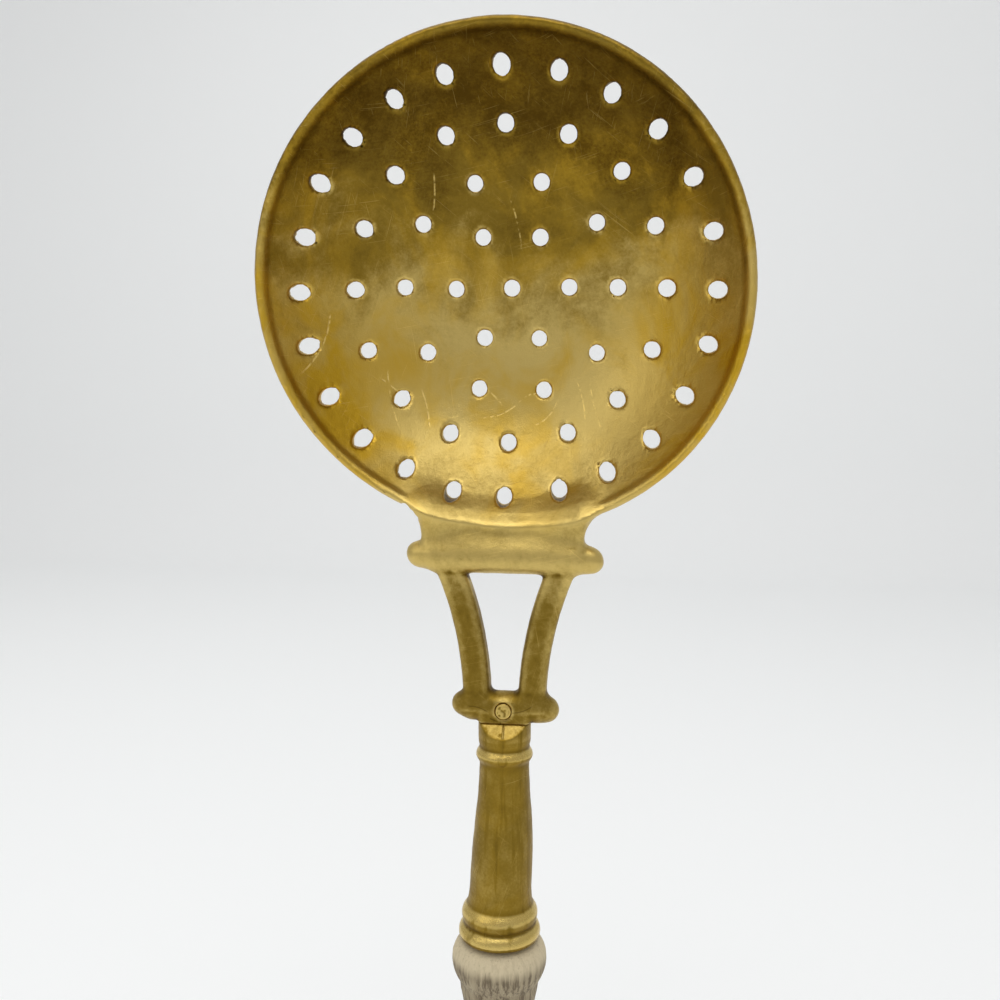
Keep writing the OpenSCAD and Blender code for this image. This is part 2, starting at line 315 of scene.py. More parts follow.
def profile(stations, step, softness):
    """Radii along a turned piece, from (height, radius) stations, eased by a soft blur."""
    heights, radii = np.array(stations, float).T
    fine = np.linspace(heights[0], heights[-1], round((heights[-1] - heights[0]) / step) + 1)
    values = np.interp(fine, heights, radii)
    reach = max(1, round(2.5 * softness / step))
    weights = np.exp(-0.5 * (np.arange(-reach, reach + 1) * step / softness) ** 2)
    padded = np.pad(values, reach, mode="reflect", reflect_type="odd")
    return fine, np.convolve(padded, weights / weights.sum(), mode="valid")


def turned(heights, radii, bore, around, relief=None):
    """A turned piece: an outside that relief may shape, and a plain bore of (height, radius)."""
    angles = np.linspace(0, 2 * math.pi, around, endpoint=False)
    z, t = np.meshgrid(heights, angles, indexing="ij")
    r = np.repeat(radii[:, None], around, 1)
    if relief is not None:
        r = relief(r, t, z)
    outer = np.stack([r * np.cos(t), r * np.sin(t), z], -1)
    inner = []
    for height, radius in bore:
        flat = np.full(around, radius)
        inner.append(np.stack([flat * np.cos(angles), flat * np.sin(angles), flat * 0 + height], -1))
    rows = np.concatenate([outer, np.array(inner)])
    count = len(rows)
    index = np.arange(count * around).reshape(count, around)
    below, above = index, np.roll(index, -1, 0)
    faces = np.stack([below, np.roll(below, -1, 1), np.roll(above, -1, 1), above], -1)
    return rows.reshape(-1, 3), faces.reshape(-1, 4)


# Materials


class Wire:
    """An output of a node. Sums, products and the like add the nodes that work them out."""

    def __init__(self, sheet, socket):
        self.sheet, self.socket = sheet, socket

    def maths(self, operation, *values, clamp=False):
        settings = {"operation": operation, "use_clamp": clamp}
        return self.sheet.node("ShaderNodeMath", settings, dict(enumerate(values)))

    def __add__(self, other):
        return self.maths("ADD", self, other)

    __radd__ = __add__

    def __sub__(self, other):
        return self.maths("SUBTRACT", self, other)

    def __rsub__(self, other):
        return self.maths("SUBTRACT", other, self)

    def __mul__(self, other):
        return self.maths("MULTIPLY", self, other)

    __rmul__ = __mul__

    def __truediv__(self, other):
        return self.maths("DIVIDE", self, other)

    def __rtruediv__(self, other):
        return self.maths("DIVIDE", other, self)

    def __pow__(self, other):
        return self.maths("POWER", self, other)

    def __neg__(self):
        return self.maths("MULTIPLY", self, -1.0)

    def __abs__(self):
        return self.maths("ABSOLUTE", self)

    def clipped(self):
        return self.maths("ADD", self, 0.0, clamp=True)

    def rises(self, low, high):
        """From 0 at low to 1 at high, smoothly."""
        settings = {"interpolation_type": "SMOOTHSTEP"}
        return self.sheet.node("ShaderNodeMapRange", settings, {0: self, 1: low, 2: high, 3: 0.0, 4: 1.0})

    def scaled(self, x, y, z):
        settings = {"operation": "MULTIPLY"}
        return self.sheet.node("ShaderNodeVectorMath", settings, {0: self, 1: (x, y, z)})

    def parts(self):
        split = [self.sheet.node("ShaderNodeSeparateXYZ", {}, {0: self}, k) for k in range(3)]
        return split


class Sheet:
    """The nodes of one material or of the world."""

    def __init__(self, tree):
        self.tree = tree
        tree.nodes.clear()

    def node(self, kind, settings=None, inputs=None, output=0):
        made = self.tree.nodes.new(kind)
        for key, value in (settings or {}).items():
            setattr(made, key, value)
        for key, value in (inputs or {}).items():
            if isinstance(value, Wire):
                self.tree.links.new(value.socket, made.inputs[key])
            else:
                made.inputs[key].default_value = value
        return Wire(self, made.outputs[output])

    def blend(self, factor, one, two):
        one, two = [(*c, 1.0) if isinstance(c, tuple) and len(c) == 3 else c for c in (one, two)]
        settings = {"data_type": "RGBA"}
        return self.node("ShaderNodeMix", settings, {0: factor, 6: one, 7: two}, 2)

    def noise(self, points, size, detail=4.0, rough=0.55, warp=0.0):
        """Noise about 0 to 1 in lumps about size millimetres across."""
        inputs = {"Vector": points, "Scale": 1 / size, "Detail": detail, "Roughness": rough}
        inputs["Distortion"] = warp
        return self.node("ShaderNodeTexNoise", {}, inputs)

    def attribute(self, name):
        return self.node("ShaderNodeAttribute", {"attribute_name": name}, {}, 2)

    def millimetres(self):
        object_place = self.node("ShaderNodeTexCoord", {}, {}, 3)
        return object_place.scaled(1000, 1000, 1000)

    def turned_by(self, points, degrees):
        settings = {"rotation_type": "Y_AXIS"}
        return self.node("ShaderNodeVectorRotate", settings, {0: points, 3: math.radians(degrees)})

    def bump(self, height, depth, strength=1.0):
        return self.node("ShaderNodeBump", {}, {"Height": height, "Distance": depth * MM, "Strength": strength})


def new_material(name):
    material = bpy.data.materials.new(name)
    material.use_nodes = True
    return material, Sheet(material.node_tree)


def surface(sheet, colour, roughness, normal, metallic, constants=()):
    """The shader at the end of a material. Constants sit on its own sockets."""
    inputs = {"Base Color": colour, "Roughness": roughness, "Normal": normal, "Metallic": metallic}
    inputs.update(dict(constants))
    shader = sheet.node("ShaderNodeBsdfPrincipled", {}, inputs)
    finish_sheet(sheet, shader)


def finish_sheet(sheet, shader):
    output = sheet.tree.nodes.new("ShaderNodeOutputMaterial")
    sheet.tree.links.new(shader.socket, output.inputs["Surface"])


def hair_scratches(sheet, points, turns):
    """Fine straight scratches in the front plane, at several angles."""
    total = 0.0
    for number, (degrees, size, share) in enumerate(turns):
        along = sheet.turned_by(points, degrees)
        drawn = along.scaled(1 / 22, 0.15, 1 / size)
        lines = sheet.noise(drawn, 1.0, 2.0, 0.5, 0.25)
        kept = lines.rises(share, share + 0.05)
        breaks = sheet.noise(points.scaled(1, 1, 1), 9 + 3 * number, 2.0).rises(0.42, 0.62)
        total = kept * breaks + total
    return total.clipped()


def stroke(sheet, x, z, line, width):
    """A curved scratch in the front plane, from (x, z) to (x, z) with a sag to its left."""
    (ax, az), (bx, bz), sag = line
    run_x, run_z = bx - ax, bz - az
    run = math.hypot(run_x, run_z)
    ux, uz = run_x / run, run_z / run
    along = ((x - ax) * ux + (z - az) * uz) / run
    across = (x - ax) * -uz + (z - az) * ux
    bent = abs(across - along * (1 - along) * (4 * sag))
    ends = along.rises(-0.02, 0.12) * (1 - along.rises(0.85, 1.02))
    return (1 - bent.rises(width * 0.4, width)) * ends


def strokes(sheet, points, lines, width):
    x, y, z = points.parts()
    total = 0.0
    for line in lines:
        total = stroke(sheet, x, z, line, width) + total
    return total.clipped()


BOWL_SCRATCHES = (
    ((-48, 232), (-54, 214), 1.5),
    ((-36, 214), (-27, 205), 0.6),
    ((-34, 217), (-30, 200), -0.8),
    ((-25, 211), (-22, 199), 0.5),
    ((-9, 203), (2, 207), -1.2),
    ((2, 207), (10, 209), 1.6),
    ((7, 201), (13, 208), -1.2),
    ((-12, 214), (-2, 206), 0.8),
    ((18, 214), (21, 202), 0.6),
    ((22, 213), (26, 199), -0.5),
    ((0, 262), (3, 248), 0.5),
    ((-20, 268), (-21, 258), 0.3),
)
JOINT_LINES = (
    ((-8.6, 126.4), (-3.0, 125.0), 0.5),
    ((3.2, 125.0), (9.0, 127.2), -0.5),
    ((0.2, 122.6), (0.1, 118.4), 0.15),
    ((-2.6, 123.4), (-0.2, 122.4), -0.2),
    ((0.4, 122.4), (3.0, 123.4), -0.2),
)


def brass(name, paints, shade, darkest=0.5, golden=0.4, lines=(), creases=(), streaked=False):
    """Old brass: bright where it is rubbed or given a painted highlight, olive and brown in hollows, finely
    scratched.
    Shade is how far the brass has tarnished, from 0 to 1. Lines are the bowl's bright scratches,
    painted brighter than polished brass as a glint, and brass with them carries painted shade towards the bowl's top
    and at its bottom."""
    material, sheet = new_material(name)
    at = sheet.millimetres()
    soil_and_shade, wear_and_highlight = sheet.attribute("soil_and_shade"), sheet.attribute("wear_and_highlight")
    clouds = sheet.noise(at, 26, 5.0, 0.6, 0.6)
    blotches = sheet.noise(at, 6.5, 5.0, 0.62, 0.3)
    speckle = sheet.noise(at, 0.7, 4.0, 0.65)
    sand = sheet.noise(at, 0.28, 2.0, 0.6)
    marks = hair_scratches(sheet, at, ((12, 0.22, 0.66), (-38, 0.3, 0.67), (71, 0.24, 0.67), (-80, 0.35, 0.69)))
    tarnish_and_shade = shade + (clouds - 0.5) * 0.5 + (blotches - 0.5) * 0.42 + (speckle - 0.5) * 0.3
    # Wear lightens the brass; on the ferrule it also carries painted highlights.
    tarnish_and_shade = tarnish_and_shade + soil_and_shade * 0.5 - wear_and_highlight * 0.35
    if lines:
        x, y, z = at.parts()
        # Painted shade: the bowl grows darker towards its top, standing in for the dark surroundings its upper wall
        # reflects, and lighter below. A band of painted shade at the bowl's bottom tempers the lamp's reflection
        # there, and the yoke's arms are darker still.
        tarnish_and_shade = tarnish_and_shade + (z + (clouds - 0.5) * 44).rises(204, 286) - 0.41
        tarnish_and_shade = tarnish_and_shade + (z * -1.0).rises(-205, -184) * 0.27
        tarnish_and_shade = tarnish_and_shade + (z * -1.0).rises(-166, -150) * 0.38
    if streaked:
        long_streaks = sheet.noise(at.scaled(1, 1, 0.06), 2.4, 3.0, 0.6, 0.2)
        tarnish_and_shade = tarnish_and_shade + (long_streaks.rises(0.5, 0.72)) * 0.38
    tarnish_and_shade = tarnish_and_shade.clipped()
    warm = sheet.noise(at.scaled(1, 1, 0.8), 17, 4.0, 0.55, 0.8).rises(0.4, 0.74) * golden
    if lines:
        at_sides = abs(x).rises(18, 54) * (z * -1.0).rises(-262, -215)
        warm = (warm + at_sides * 0.5).clipped() * z.rises(166, 186)
    base = sheet.blend(tarnish_and_shade.rises(0.0, 0.62), tuple(paints.polished), tuple(paints.dull))
    base = sheet.blend(warm * (1 - tarnish_and_shade * 0.6), base, tuple(paints.gold))
    base = sheet.blend((tarnish_and_shade.rises(0.55, 1.15) * darkest).clipped(), base, tuple(paints.patina_and_shade))
    # Hollows take patina; on the bowl's hole walls this is painted shade as well.
    base = sheet.blend((soil_and_shade.rises(0.25, 1.0) * 0.75).clipped(), base, tuple(paints.patina_and_shade))
    scratched = marks * 0.35
    if lines:
        drawn = strokes(sheet, at, lines, 0.3)
        faint = sheet.noise(at, 1.6, 2.0).rises(0.38, 0.6)
        scratched = (scratched + drawn * faint).clipped()
    # The scratches take a colour brighter than polished brass: real scratches with a painted glint.
    bright = tuple(min(1.0, c * 1.4) for c in paints.polished)
    base = sheet.blend(scratched * (1 - tarnish_and_shade * 0.5), base, bright)
    if creases:
        sunk = strokes(sheet, at, creases, 0.2)
        base = sheet.blend(sunk * 0.5, base, tuple(paints.patina_and_shade))
        scratched = scratched + sunk
    rough = 0.36 + tarnish_and_shade * 0.16 + (speckle - 0.5) * 0.16 + marks * 0.06 - wear_and_highlight * 0.06
    pits = (speckle - 0.5) * 0.5 + (sand - 0.5) * 0.5 + (blotches - 0.5) * 1.6
    normal = sheet.bump(pits - scratched * 0.5, 0.16, 0.55)
    surface(sheet, base, rough.clipped(), normal, 1.0)
    return material


def bleached_wood(name, paints):
    """Dry, washed out wood: long grey-brown fibres, open pores and a few dark stains."""
    material, sheet = new_material(name)
    at = sheet.millimetres()
    x, y, z = at.parts()
    long_grain = sheet.noise(at.scaled(1, 1, 0.045), 0.9, 5.0, 0.62, 0.15)
    fibre = sheet.noise(at.scaled(1, 1, 0.07), 0.32, 3.0, 0.6)
    pores = sheet.noise(at.scaled(1, 1, 0.13), 0.42, 3.0, 0.6).rises(0.6, 0.72)
    clouds = sheet.noise(at.scaled(1, 1, 0.5), 7, 4.0, 0.6, 0.5)
    stains = sheet.noise(at.scaled(1, 1, 0.3), 3.4, 5.0, 0.65, 0.3).rises(0.57, 0.74)
    handled = (z * -1.0).rises(-57.5, -54.0)
    dark = long_grain.rises(0.42, 0.7) * 0.55 + (clouds - 0.5) * 0.6
    dark = (dark * (0.35 + handled * 0.9) + stains * handled * 0.6 + pores * 0.35 + handled * 0.6).clipped()
    colour = sheet.blend(dark, tuple(paints.bleached), tuple(paints.grain))
    paler = (fibre.rises(0.5, 0.75) * 0.3).clipped()
    colour = sheet.blend(paler, colour, tuple(min(1.0, c * 1.25) for c in paints.bleached))
    rough = 0.78 + (fibre - 0.5) * 0.2
    height = fibre * 0.6 + long_grain - pores * 1.4
    surface(sheet, colour, rough.clipped(), sheet.bump(height, 0.14, 0.7), 0.0)
    return material


def plain_steel(name, paints):
    material, sheet = new_material(name)
    at = sheet.millimetres()
    drawn = sheet.noise(at.scaled(1, 1, 0.05), 0.3, 3.0, 0.6)
    spots = sheet.noise(at, 2.5, 4.0, 0.6).rises(0.55, 0.75)
    darker = tuple(c * 0.45 for c in paints.steel)
    colour = sheet.blend(spots * 0.6, tuple(paints.steel), darker)
    surface(sheet, colour, 0.34 + drawn * 0.2, sheet.bump(drawn, 0.05, 0.5), 1.0)
    return material


# Shapes


def sway(height):
    """How far the handle leans to the right at a height over the ferrule's mouth."""
    return 1.0 * ramp(height, 4, 40) * (1 - ramp(height, 98, 113))


class Casting:
    """The bowl and the yoke as one distance, in millimetres over the ferrule's mouth."""

    rings = ((1, 0.0), (6, 0.247), (10, 0.462), (16, 0.665), (24, 0.859))
    # Slow changes of the rim's radius: waves round it, share of the radius, and angle
    rim_waves = ((0, -0.0242, 0.0), (1, -0.015, -1.67), (2, -0.007, 1.98), (3, -0.0037, 0.17))

    def __init__(self, sizes):
        self.radius, self.depth = sizes.bowl_radius / MM, sizes.bowl_depth / MM
        self.lean, self.wall, self.lip = sizes.bowl_lean, sizes.wall / MM, sizes.lip / MM
        self.neck = sizes.neck_width / MM
        self.top, self.low = sizes.upper_bar / MM, sizes.lower_bar / MM
        self.bar, self.bend = sizes.bar / MM, sizes.arm_bend / MM
        self.pin, self.pin_height = sizes.pin / MM, sizes.pin_height / MM
        self.foot = sizes.ferrule / MM
        self.hole = sizes.hole / MM / 2
        self.rim_y = -self.radius * math.sin(self.lean)
        self.rim_z = self.top + 5.6 + self.radius * math.cos(self.lean)
        draw = np.random.default_rng(57)
        self.holes = []
        for count, share in self.rings:
            angle = 2 * math.pi * np.arange(count) / count
            reach = share * self.radius + draw.normal(0, 0.22, count)
            angle = angle + draw.normal(0, 0.22, count) / max(share * self.radius, 9)
            size = self.hole + draw.normal(0, 0.05, count)
            self.holes.append((count, angle, reach, size))

    def in_bowl(self, p):
        y, z = p[:, 1] - self.rim_y, p[:, 2] - self.rim_z
        sin, cos = math.sin(self.lean), math.cos(self.lean)
        return p[:, 0], -y * sin + z * cos, -y * cos - z * sin

    def hole_distance(self, u, v):
        turn = np.arctan2(v, u)
        nearest = np.full(len(u), 99.0)
        for count, angle, reach, size in self.holes:
            index = np.round(turn / (2 * math.pi) * count).astype(int) % count
            cos, sin = np.cos(angle[index]), np.sin(angle[index])
            out = u * cos + v * sin - reach[index]
            side = v * cos - u * sin
            stretch = 1.02 if count == 24 else 1.0
            nearest = np.minimum(nearest, np.hypot(out / stretch, side) - size[index])
        return nearest

    def bowl(self, p):
        u, v, w = self.in_bowl(p)
        turn = np.arctan2(v, u)
        radius = self.radius * (1 + sum(a * np.cos(k * turn - t) for k, a, t in self.rim_waves))
        r = np.hypot(u, v)
        share = np.clip(r / radius, 0, 1)
        slope = self.depth * 3 * share**2 / radius
        middle = (w + self.depth * (1 - share**3)) / np.sqrt(1 + slope**2)
        middle += 0.10 * lumps(p, 17, 3) + 0.045 * lumps(p, 6, 4)
        near_neck = (1 - ramp(np.abs(u), 20, 29)) * ramp(-v, 35, 50)
        thick = self.wall / 2 + 0.35 * near_neck
        sheet = np.abs(middle) - thick
        sheet = common(sheet, r - radius, 0.6 + 1.2 * near_neck)
        lip_radius = (self.lip - 0.12) * (1 - 0.75 * near_neck) + 0.06 * lumps(p, 9, 5)
        lip = np.hypot(r - radius, w) - lip_radius + 1.2 * near_neck
        beyond = np.clip(r / radius, 1, 1.3)
        before_wall = middle - self.depth * (beyond**3 - 1) / np.sqrt(1 + slope**2) - thick
        return union(sheet, lip, 1.7), before_wall, self.hole_distance(u, v)

    def arms(self, p):
        x, z = np.abs(p[:, 0]), p[:, 2]
        centre = 7.4 + self.bend
        off = np.hypot(x - centre, z - self.low) - self.bend
        half_w, half_t, soft = 3.7, 3.35, 2.1
        a = np.abs(off) - half_w + soft
        b = np.abs(p[:, 1]) - half_t + soft
        section = np.hypot(np.maximum(a, 0), np.maximum(b, 0)) + np.minimum(np.maximum(a, b), 0) - soft
        ends = np.abs(z - (self.low + self.top) / 2) - (self.top - self.low) / 2
        return common(section, ends, 0.5)

    def bars(self, p):
        tilt = 0.4
        upper = capsule(p, (-18, 0, self.top), (18, 0, self.top), self.bar, self.bar)
        fingers = capsule(p, (-22.4, 0, self.top + tilt * 0.3), (22.4, 0, self.top - tilt), 2.9, 2.9)
        upper = union(upper, fingers, 1.6)
        for side, height, size in ((-1, tilt * 0.3, 3.25), (1, -tilt, 3.35)):
            knob = capsule(p, (side * 22.2, 0, self.top + height), (side * 22.7, 0, self.top + height), size, size)
            upper = union(upper, knob, 0.8)
        lower = capsule(p, (-8.6, 0, self.low), (8.6, 0, self.low - 0.2), self.bar, self.bar)
        for side, height, size in ((-1, 0.35, 3.2), (1, -0.6, 3.45)):
            finger = capsule(
                p, (side * 6, 0, self.low), (side * 11.2, 0, self.low + height), 3.0, size
            )
            lower = union(lower, finger, 1.2)
        return upper, lower

    def __call__(self, p):
        bowl, before_wall, holes = self.bowl(p)
        p = np.stack([p[:, 0] - sway(p[:, 2]), p[:, 1], p[:, 2]], 1)
        back = 0.12 * np.maximum(p[:, 2] - self.top, 0)
        leaned = np.stack([p[:, 0], p[:, 1] - back, p[:, 2]], 1)
        neck = block(leaned, (0, -0.3, self.top + 5.6), (self.neck / 2 - 0.4, 3.6, 8.6), 2.0)
        neck = common(neck, before_wall + 0.1, 4.0)
        body = union(bowl, neck, 2.5 + 5.0 * ramp(np.abs(p[:, 0]), 6, 23))
        upper, lower = self.bars(p)
        body = union(body, upper, 2.4)
        arms = self.arms(p)
        yoke = union(union(arms, lower, 1.8), upper, 2.0)
        foot_low = self.foot - 2.5
        foot = block(p, (0, 0.9, (foot_low + self.low) / 2), (6.6, 4.7, (self.low - foot_low) / 2), 1.2)
        yoke = union(yoke, foot, 1.4)
        body = union(body, yoke, 1.2)
        body = cut(body, holes, 0.3)
        body = body + 0.05 * lumps(p, 2.6, 7) * ramp(-p[:, 2], -124, -112) + 0.05 * lumps(p, 1.2, 8) * 0.6
        pin = np.hypot(p[:, 0], p[:, 2] - self.pin_height) - self.pin - 0.12
        body = cut(body, pin, 0.25)
        body = cut(body, p[:, 2] - self.foot, 0.1)
        return self.chipped(body, p)

    def chipped(self, body, p):
        for x, z, size in ((-26.1, 118.5, 1.4), (-24.3, 117.1, 1.0), (-22.9, 116.0, 0.6)):
            bite = np.hypot(p[:, 0] - x, p[:, 2] - z) - size
            body = cut(body, bite, 0.3)
        return body


def casting_lines():
    fine, plain = 0.56, 0.94
    x = axis_steps((-66, -27, plain), (-27, 27, fine), (27, 66, plain))
    y = axis_steps((-21.5, -8, 0.8), (-8, 8, 0.56), (8, 21.5, 0.8))
    z = axis_steps((60, 126, fine), (126, 241, plain))
    return x, y, z


class SKIMMER_OT_casting(bpy.types.Operator):
    """Build the bowl and yoke as one casting"""

    bl_idname = "skimmer.casting"
    bl_label = "Bowl and yoke"

    def execute(self, context):
        scene = context.scene
        shape = Casting(scene.skimmer_sizes)
        points, faces = skinned(shape, casting_lines())
        soil_and_shade, wear_and_highlight = bends(shape, points)
        # In the bowl, hollow darkening is kept only at the holes: painted shade on the hole walls, with some real
        # dirt there.
        hole_wall_shade = ramp(shape.hole_distance(*shape.in_bowl(points)[:2]), 0.9, 0.1)
        soil_and_shade = soil_and_shade * np.where(points[:, 2] > 109, 0.1 + 0.9 * hole_wall_shade, 1.0)
        material = brass(
            "cast_brass", scene.skimmer_colours, 0.34, 0.9, 0.75, BOWL_SCRATCHES, JOINT_LINES
        )
        place(
            "Bowl_and_yoke", points, faces, material, "skimmer",
            ["bowl_and_yoke"], {"soil_and_shade": soil_and_shade, "wear_and_highlight": wear_and_highlight},
        )
        return {"FINISHED"}


class SKIMMER_OT_pin(bpy.types.Operator):
    """Build the riveted pin through the yoke"""

    bl_idname = "skimmer.pin"
    bl_label = "Yoke pin"

    def execute(self, context):
        scene = context.scene
        sizes = scene.skimmer_sizes
        radius, height, half = sizes.pin / MM, sizes.pin_height / MM, 4.28

        def shape(p):
            side = np.hypot(p[:, 0] - sway(height), p[:, 2] - height)
            ends = np.abs(p[:, 1]) - half + 0.12 * ramp(side, 0.6, 0.0) - 0.10 * lumps(p, 0.7, 21)
            return common(side - radius - 0.02 * lumps(p, 1.0, 22), ends, 0.35)

        lines = [
            axis_steps((-1.7, 3.7, 0.16)),
            axis_steps((-4.8, -3.0, 0.16), (-3.0, 3.0, 0.6), (3.0, 4.8, 0.16)),
            axis_steps((height - 2.7, height + 2.7, 0.16)),
        ]
        points, faces = skinned(shape, lines)
        soil_and_shade, wear_and_highlight = bends(shape, points, 0.3)
        material = brass("pin_brass", scene.skimmer_colours, 0.25, golden=0.2)
        place(
            "Yoke_pin", points, faces, material, "skimmer",
            ["yoke_pin"], {"soil_and_shade": soil_and_shade * 0.5, "wear_and_highlight": wear_and_highlight * 0.5},
        )
        return {"FINISHED"}


FERRULE_STATIONS = (
    (0.8, 9.9), (0.95, 10.6), (1.5, 11.05), (2.6, 11.25), (3.8, 11.0), (4.5, 10.5), (4.9, 10.0),
    (5.3, 9.75), (5.8, 9.95), (6.6, 10.3), (7.8, 10.4), (8.9, 10.15), (9.7, 9.6), (10.4, 9.1),
    (11.1, 8.85), (12.0, 8.72), (13.0, 8.6), (14.5, 8.45), (19.0, 8.4), (25.0, 8.26), (29.0, 8.1), (33.0, 7.83),
    (36.7, 7.54), (40.0, 7.15), (43.0, 6.98), (46.0, 6.84), (49.2, 6.7), (50.2, 6.72), (50.8, 7.05),
    (51.5, 7.55), (52.3, 7.72), (53.1, 7.55), (53.7, 7.1), (54.2, 6.78), (55.0, 6.78), (55.6, 7.0),
    (57.0, 7.08), (59.0, 7.1), (60.8, 7.1), (61.17, 7.05),
)


class SKIMMER_OT_ferrule(bpy.types.Operator):
    """Build the hollow brass ferrule"""

    bl_idname = "skimmer.ferrule"
    bl_label = "Ferrule"

    def execute(self, context):
        scene = context.scene
        heights, radii = profile(FERRULE_STATIONS, 0.26, 0.3)

        def relief(r, t, z):
            front = np.maximum(np.cos(t + math.pi / 2), 0.05)
            flat = (3.5 + (61.2 - z) * 1.1) / front
            p = np.stack([r * np.cos(t), r * np.sin(t), z], -1).reshape(-1, 3)
            rough = (0.05 * lumps(p, 2.8, 31) + 0.03 * lumps(p, 1.1, 32)).reshape(r.shape)
            dents = 0.16 * ramp(lumps(p * [1.6, 1.6, 0.5], 1.1, 33), 0.1, 0.8).reshape(r.shape)
            groove = np.exp(-(((z - 54.4) / 0.7) ** 2)) * np.maximum(np.cos(t + math.pi / 2), 0)
            facet = (0.22 * lumps(p, 0.9, 34)).reshape(r.shape)
            crack = 0.35 * np.exp(-((r * np.cos(t) - 0.2) / 0.28) ** 2) * ramp(z, 57.8, 58.4)
            shaped = union(r + rough - dents * groove, flat + facet * 0.5 - crack, 0.35)
            return np.minimum(shaped, r + 0.12)

        points, faces = turned(heights, radii, [(61.17, 2.05), (33.0, 2.05), (33.0, 6.05), (0.8, 6.05)], 256, relief)
        points[:, 0] += sway(points[:, 2])
        count = len(heights) * 256
        groove = np.convolve(np.pad(radii, 8, mode="edge"), np.ones(17) / 17, mode="valid") - radii
        soil_and_shade = np.zeros(len(points))
        wear_and_highlight = np.zeros(len(points))
        soil_and_shade[:count] = np.repeat(np.clip(groove * 1.6, 0, 0.6), 256)
        # Rubbed crests of the rings, moved up onto the rings' tops where the overhead light falls: real wear with a
        # painted highlight.
        wear_and_highlight[:count] = np.repeat(np.roll(np.clip(-groove * 6.5, 0, 1.7), 4), 256)
        # Painted highlight: the cut facet at the mouth is made brighter because it faces up into the light.
        cut_back = np.repeat(radii, 256) - np.hypot(points[:count, 0] - sway(points[:count, 2]), points[:count, 1])
        wear_and_highlight[:count] += 0.55 * ramp(cut_back, 0.1, 0.6) * (points[:count, 2] > 55.5)
        material = brass("ferrule_brass", scene.skimmer_colours, 0.5, golden=0.3, streaked=True)
        place(
            "Ferrule", points, faces, material, "skimmer",
            ["ferrule"], {"soil_and_shade": soil_and_shade, "wear_and_highlight": wear_and_highlight},
        )
        return {"FINISHED"}


GRIP_STATIONS = (
    (-112.4, 7.7), (-111.9, 9.3), (-111.0, 10.2), (-109.4, 10.6), (-107.8, 10.2), (-106.6, 9.2),
    (-105.6, 8.8), (-102.0, 8.65), (-97.5, 8.6), (-92.0, 9.2), (-86.0, 10.3), (-80.0, 11.5),
    (-75.4, 12.0), (-45.4, 12.0), (-41.0, 11.7), (-35.0, 10.7), (-29.0, 9.6), (-25.5, 9.2),
    (-23.3, 9.15), (-20.5, 9.4), (-17.5, 9.9), (-14.9, 10.4), (-13.4, 10.75), (-12.4, 10.85),
    (-11.6, 10.85), (-11.0, 11.1), (-10.2, 11.6), (-9.0, 12.25), (-7.4, 12.8), (-5.4, 13.05),
    (-3.6, 12.95), (-2.0, 12.4), (-0.7, 11.5), (0.2, 10.2), (0.72, 8.2),
)


class SKIMMER_OT_grip(bpy.types.Operator):
    """Build the turned wooden grip"""

    bl_idname = "skimmer.grip"
    bl_label = "Wooden grip"

    def execute(self, context):
        scene = context.scene
        heights, radii = profile(GRIP_STATIONS, 0.4, 0.4)

        def relief(r, t, z):
            p = np.stack([r * np.cos(t), r * np.sin(t), z], -1).reshape(-1, 3)
            wavy = 0.05 * lumps(p * [1, 1, 0.3], 5, 41)
            fibres = 0.05 * lumps(p * [1, 1, 0.05], 0.8, 42)
            checks = 0.22 * ramp(lumps(p * [1, 1, 0.035], 1.5, 43), 0.55, 0.85)
            return r + (wavy + fibres - checks - 0.05).reshape(r.shape)

        bore = [(0.72, 6.0), (32.0, 6.0), (32.0, 2.3), (-117.2, 2.3), (-117.2, 6.8), (-112.4, 6.8)]
        points, faces = turned(heights, radii, bore, 224, relief)
        material = bleached_wood("bleached_wood", scene.skimmer_colours)
        place("Grip", points, faces, material, "skimmer", ["grip"])
        return {"FINISHED"}


CAP_STATIONS = (
    (-121.4, 4.9), (-121.3, 6.4), (-120.6, 8.2), (-119.4, 9.3), (-118.2, 9.7), (-117.0, 9.75),
    (-116.4, 9.3), (-115.9, 9.1), (-115.4, 9.3), (-114.9, 9.75), (-113.6, 9.8), (-112.7, 9.75),
    (-112.4, 9.5),
)


